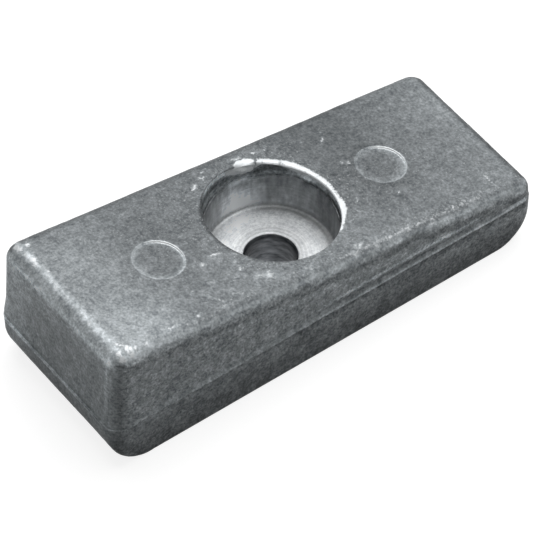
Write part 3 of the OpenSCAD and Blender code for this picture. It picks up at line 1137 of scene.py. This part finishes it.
# %% Bare metal where the crust is rubbed through
strokes = []
for stroke_turn in (35, -50):
    stretched = add(tree, "Mapping", {
        "Vector": spot, "Rotation": (0, 0, math.radians(stroke_turn)), "Scale": (2.8, 1, 1)},
        vector_type="TEXTURE")
    strokes.append(add(tree, "TexNoise", {
        "Vector": stretched, "Scale": per_mm(0.42), "Detail": 3, "Roughness": 0.65}))
scratches = add(tree, "Math", {0: strokes[0], 1: strokes[1]}, operation="MAXIMUM")
specks = add(tree, "TexNoise", {
    "Vector": spot, "Scale": per_mm(0.42), "Detail": 2, "Roughness": 0.6})
# Each kind of tear opens where its noise and the rubbing add up to between two sums.
torn = []
for tears, first, last in ((scratches, 1.1, 1.36), (specks, 0.97, 1.42)):
    strain = add(tree, "Math", {0: tears, 1: rub_value}, operation="ADD")
    torn.append(add(tree, "MapRange", {"Value": strain, "From Min": first, "From Max": last},
                    interpolation_type="SMOOTHSTEP"))
bare = add(tree, "Math", {0: torn[0], 1: torn[1]}, operation="MAXIMUM")
print("with the crust and its tears there are", len(tree.nodes), "nodes")

# %% Put the cast skin together
colour = blend(tree, COLOUR_MIX, bare, crust_with_painted_light, paint("#dcdfe1"))
shine = blend(tree, FLOAT_MIX, bare, 0.03, 0.35)
roughness = blend(tree, FLOAT_MIX, bare, 0.48, 0.42)
heights = blend(tree, FLOAT_MIX, 0.2, blotches, grains)
heights = blend(tree, FLOAT_MIX, 0.3, heights, worms)
relief_depth = add(tree, "MapRange", {"Value": wall_value, "To Min": 0.35, "To Max": 1.0})
bump = add(tree, "Bump", {"Height": heights, "Strength": relief_depth, "Distance": 0.12 * MM})
surface = add(tree, "BsdfPrincipled", {
    "Base Color": colour, "Metallic": shine, "Roughness": roughness, "Normal": bump,
    "Specular IOR Level": 0.04})
add(tree, "OutputMaterial", {"Surface": surface})
print("cast skin has", len(tree.nodes), "nodes")

# %% [markdown]
# ## Turned zinc
# The pocket was opened with a turning tool, which leaves bare metal with fine rings in it. The seat
# was cut last and is bright. The wall is painted darker towards its top, a painted shade where less
# light comes up from the bright seat, and painted reflections stream down it. Real rings of this
# kind lie a tenth or two of a millimetre apart, which is too fine to show, so they are drawn nearly
# half a millimetre wide.

# %% Marks of the turning tool
turned_zinc, tree = start_material("turned_zinc")
spot = add(tree, "TexCoord").outputs["Object"]
axes = add(tree, "SeparateXYZ", {"Vector": spot})
flat_spot = add(tree, "VectorMath", {0: spot, 1: (1, 1, 0)}, operation="MULTIPLY")
radius = add(tree, "VectorMath", {0: flat_spot}, operation="LENGTH")
lathe = add(tree, "Math", {0: radius.outputs["Value"], 1: axes.outputs["Z"]}, operation="ADD")
lathe_line = add(tree, "CombineXYZ", {"X": lathe})
rings = add(tree, "TexNoise", {
    "Vector": lathe_line, "Scale": per_mm(0.45), "Detail": 3, "Roughness": 0.7})
along_rings = add(tree, "VectorMath", {0: spot, 1: (0.3, 0.3, 1)}, operation="MULTIPLY")
smears = add(tree, "TexNoise", {
    "Vector": along_rings, "Scale": per_mm(0.8), "Detail": 4, "Roughness": 0.65})
speckles = add(tree, "TexNoise", {
    "Vector": spot, "Scale": per_mm(0.5), "Detail": 3, "Roughness": 0.7})
cut_marks = blend(tree, FLOAT_MIX, 0.5, rings, smears)
cut_marks = blend(tree, FLOAT_MIX, 0.4, cut_marks, speckles)
cut_tone = add(tree, "MapRange", {"Value": cut_marks, "From Min": 0.4, "From Max": 0.6})
# Painted reflections: streaks that stream down the wall.
down_wall = add(tree, "VectorMath", {0: spot, 1: (1, 1, 0.18)}, operation="MULTIPLY")
reflection_streaks = add(tree, "TexNoise", {
    "Vector": down_wall, "Scale": per_mm(1.0), "Detail": 3, "Roughness": 0.6})
wall_marks = blend(tree, FLOAT_MIX, 0.35, cut_marks, reflection_streaks)
wall_shade = add(tree, "MapRange", {"Value": wall_marks, "From Min": 0.34, "From Max": 0.66})
print("tool marks take", len(tree.nodes), "nodes")

# %% Recipe for the turned pocket
seat_metal = blend(tree, COLOUR_MIX, cut_tone, paint("#b8bbbe"), paint("#f2f4f5"))
# A lit and a shaded copy of the wall's metal. The shaded copy takes over towards the top of the wall, a
# painted shade.
lit_wall_metal = blend(tree, COLOUR_MIX, wall_shade, paint("#a6a9ad"), paint("#f0f2f3"))
shaded_wall_metal = blend(tree, COLOUR_MIX, wall_shade, paint("#6a6e71"), paint("#c3c6c9"))
shade_towards_top = add(tree, "MapRange", {
    "Value": axes.outputs["Z"], "From Min": (seat_z + 1.0) * MM, "From Max": pocket_top_z * MM})
wall_metal = blend(tree, COLOUR_MIX, shade_towards_top, lit_wall_metal, shaded_wall_metal)
up_wall = add(tree, "MapRange", {
    "Value": axes.outputs["Z"], "From Min": (seat_z + 0.05) * MM, "From Max": (seat_z + 0.6) * MM},
    interpolation_type="SMOOTHSTEP")
colour = apply_wear_and_painted_light(tree, blend(tree, COLOUR_MIX, up_wall, seat_metal, wall_metal))
shine = blend(tree, FLOAT_MIX, up_wall, 0.4, 0.7)
rough = add(tree, "MapRange", {
    "Value": cut_marks, "From Min": 0.3, "From Max": 0.7, "To Min": 0.4, "To Max": 0.55})
bump = add(tree, "Bump", {"Height": cut_marks, "Strength": 0.6, "Distance": 0.05 * MM})
surface = add(tree, "BsdfPrincipled", {
    "Base Color": colour, "Metallic": shine, "Roughness": rough, "Normal": bump})
add(tree, "OutputMaterial", {"Surface": surface})
print("turned metal has", len(tree.nodes), "nodes")

# %% [markdown]
# ## Drilled zinc
# The bore is the same metal, cut by a drill and never polished. It is deep and narrow, so little
# light reaches it.

# %% Recipe for the bore
drilled_zinc, tree = start_material("drilled_zinc")
spot = add(tree, "TexCoord").outputs["Object"]
flattened = add(tree, "VectorMath", {0: spot, 1: (1, 1, 3)}, operation="MULTIPLY")
scores = add(tree, "TexNoise", {"Vector": flattened, "Scale": per_mm(2.0), "Detail": 4})
score_tone = add(tree, "MapRange", {"Value": scores, "From Min": 0.25, "From Max": 0.75})
# The bore's dark colours are partly painted shade of the deep, narrow bore.
colour = apply_wear_and_painted_light(tree, blend(tree, COLOUR_MIX, score_tone, paint("#36393d"), paint("#808387")))
bump = add(tree, "Bump", {"Height": scores, "Strength": 0.5, "Distance": 0.03 * MM})
surface = add(tree, "BsdfPrincipled", {
    "Base Color": colour, "Metallic": 0.9, "Roughness": 0.5, "Normal": bump})
add(tree, "OutputMaterial", {"Surface": surface})
print("drilled metal has", len(tree.nodes), "nodes")

# %% [markdown]
# ## Put the skin in the place of the plain casting
# The construction solid stays in the model for the simulation, and the skin is shown for it.

# %% Dress the casting and finish
for finish in (cast_zinc, turned_zinc, drilled_zinc):
    skin.materials.append(finish)
casting = put("anode_skin", skin)
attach(casting, "root")
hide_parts("anode_casting")
